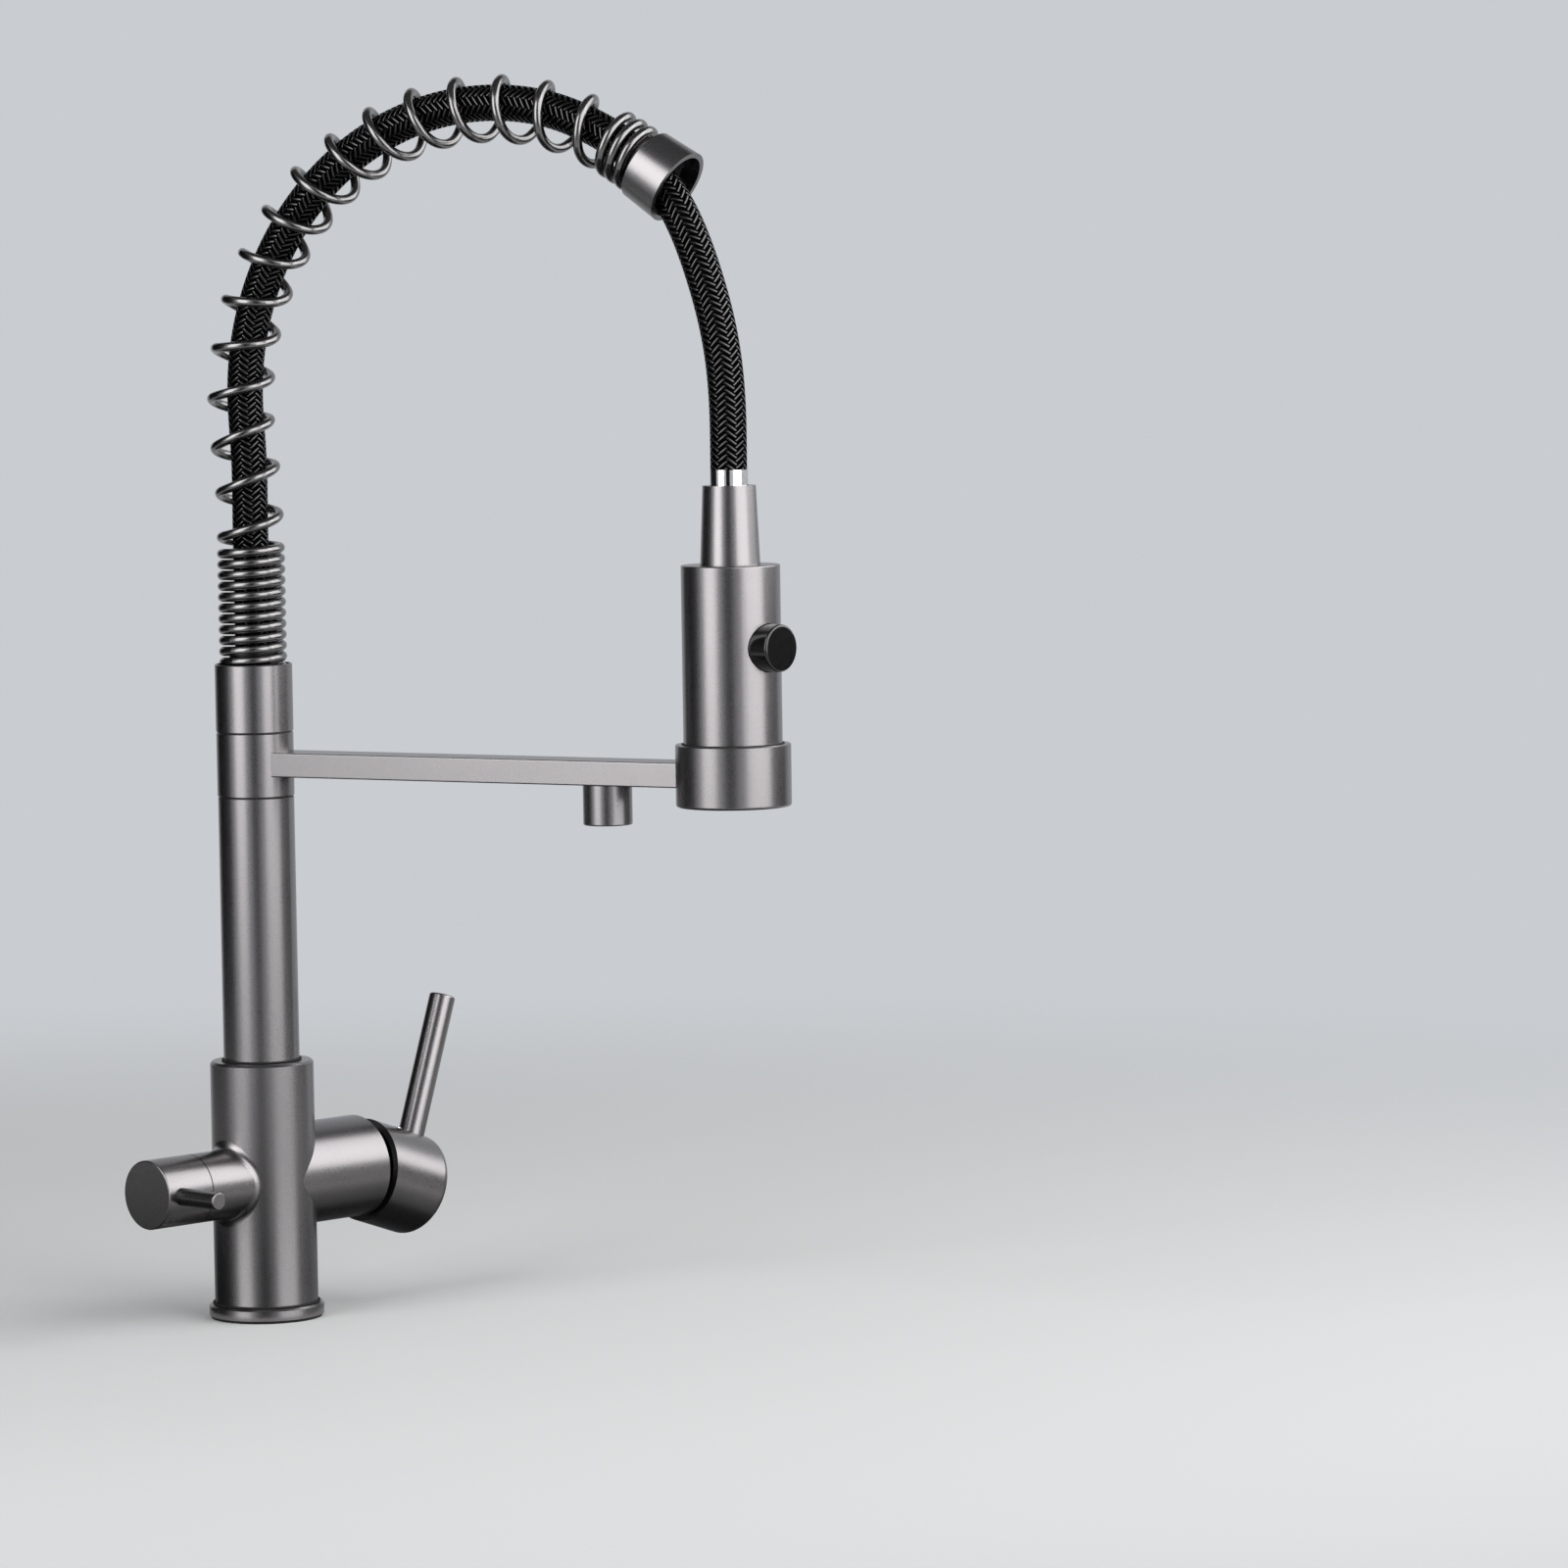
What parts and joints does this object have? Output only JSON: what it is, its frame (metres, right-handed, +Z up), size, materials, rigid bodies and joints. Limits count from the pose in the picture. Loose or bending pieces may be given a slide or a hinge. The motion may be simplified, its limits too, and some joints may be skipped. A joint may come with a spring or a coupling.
{
  "type": "kitchen filter mixer tap",
  "caption": "Tall gunmetal kitchen mixer tap with spring-guided hose, docking arm with separate filtered-water nozzle, side lever and filter knob.",
  "frame": {"origin": "deck plane on the axis of the column, in the middle of the deck hole", "axes": "+Z up along the column, +X along the arm from the column to the spray head"},
  "size_m": [0.2974, 0.1808, 0.5888],
  "materials": {
    "gunmetal": "satin gunmetal coating",
    "gunmetal_wire": "satin gunmetal coating on spring wire",
    "brass": "turned brass",
    "rubber_black": "matt rubber",
    "zinc_steel": "zinc plated",
    "bright_steel": "polished stainless steel",
    "plastic_black": "matt moulded plastic",
    "button_black": "gloss moulded plastic",
    "plastic_grey": "moulded acetal",
    "hose_braid": "braided black nylon with bright flecks"
  },
  "bodies": {
    "tap_body": {"base_gasket": "rubber_black", "base_flange": "gunmetal", "mounting_shank": "brass", "clamp_rubber": "rubber_black", "clamp_washer": "zinc_steel", "clamp_nut": "brass", "body_casting": "gunmetal", "inlet_core": "brass", "column_tube": "gunmetal", "pillar": "brass", "arm_seal_low": "rubber_black", "arm_seal_high": "rubber_black", "swivel_washer_low": "plastic_black", "swivel_washer_high": "plastic_black", "top_collar": "gunmetal", "mixer_cartridge": "plastic_grey", "cartridge_nut": "brass", "dome_ring": "plastic_black", "filter_valve": "brass"},
    "mixer_rotor": {"cartridge_rotor": "brass", "pivot_pin": "bright_steel"},
    "mixer_handle": {"cartridge_stem": "brass", "lever_cap": "gunmetal", "lever_rod": "gunmetal", "lever_screw": "bright_steel"},
    "filter_handle": {"filter_spindle": "bright_steel", "filter_knob": "gunmetal", "filter_pin": "gunmetal"},
    "arm": {"arm_collar": "gunmetal", "arm_bar": "gunmetal", "arm_tube": "plastic_grey", "nozzle_block": "brass", "filter_nozzle": "gunmetal", "filter_aerator": "plastic_grey", "dock_ring": "gunmetal", "dock_liner": "plastic_black"},
    "spring_arch": {"hose_fitting": "brass", "fitting_seal": "rubber_black", "spring_seat": "plastic_black", "spring": "gunmetal_wire", "spring_cap": "gunmetal", "spray_hose": "hose_braid"},
    "hose_end": {"hose_ferrule": "bright_steel", "hose_nut": "brass"},
    "spray_head": {"neck_sleeve": "gunmetal", "head_shell": "gunmetal", "diverter_block": "plastic_grey", "spray_plate": "plastic_grey", "centre_aerator": "plastic_grey", "head_seal": "rubber_black"},
    "head_button": {"spray_button": "button_black", "button_stem": "plastic_black", "button_spring": "bright_steel"}
  },
  "joints": [
    {"name": "arm_swing", "type": "hinge", "parent": "tap_body", "child": "arm", "pos_m": [0, 0, 0.242], "axis": [0, 0, 1], "range_deg": [-180, 180]},
    {"name": "spring_turn", "type": "hinge", "parent": "tap_body", "child": "spring_arch", "pos_m": [0, 0, 0.28], "axis": [0, 0, 1], "range_deg": [-180, 180]},
    {"name": "head_lift", "type": "slide", "parent": "spring_arch", "child": "hose_end", "axis": [0, 0, 1], "range_m": [0, 0.03], "deforming": ["spray_hose"]},
    {"name": "head_turn", "type": "hinge", "parent": "hose_end", "child": "spray_head", "pos_m": [0.2343, 0, 0.35], "axis": [0, 0, 1], "range_deg": [-180, 180]},
    {"name": "button_press", "type": "slide", "parent": "spray_head", "child": "head_button", "axis": [-0.9703, 0.2419, 0], "range_m": [0, 0.003], "stiffness_N_per_m": 500, "springref_m": -0.002, "deforming": ["button_spring"]},
    {"name": "mixer_turn", "type": "hinge", "parent": "tap_body", "child": "mixer_rotor", "pos_m": [0.01491, 0.04877, 0.0604], "axis": [0.2924, 0.9563, 0], "range_deg": [-45, 45]},
    {"name": "mixer_lift", "type": "hinge", "parent": "mixer_rotor", "child": "mixer_handle", "pos_m": [0.01491, 0.04877, 0.0604], "axis": [-0.9563, 0.2924, 0], "range_deg": [-19, 0]},
    {"name": "filter_turn", "type": "hinge", "parent": "tap_body", "child": "filter_handle", "pos_m": [-0.01462, -0.04782, 0.0604], "axis": [-0.2924, -0.9563, 0], "range_deg": [0, 90]}
  ],
  "couplings": [
    {"joint": "spring_turn", "follows": "arm_swing", "ratio": 1}
  ]
}
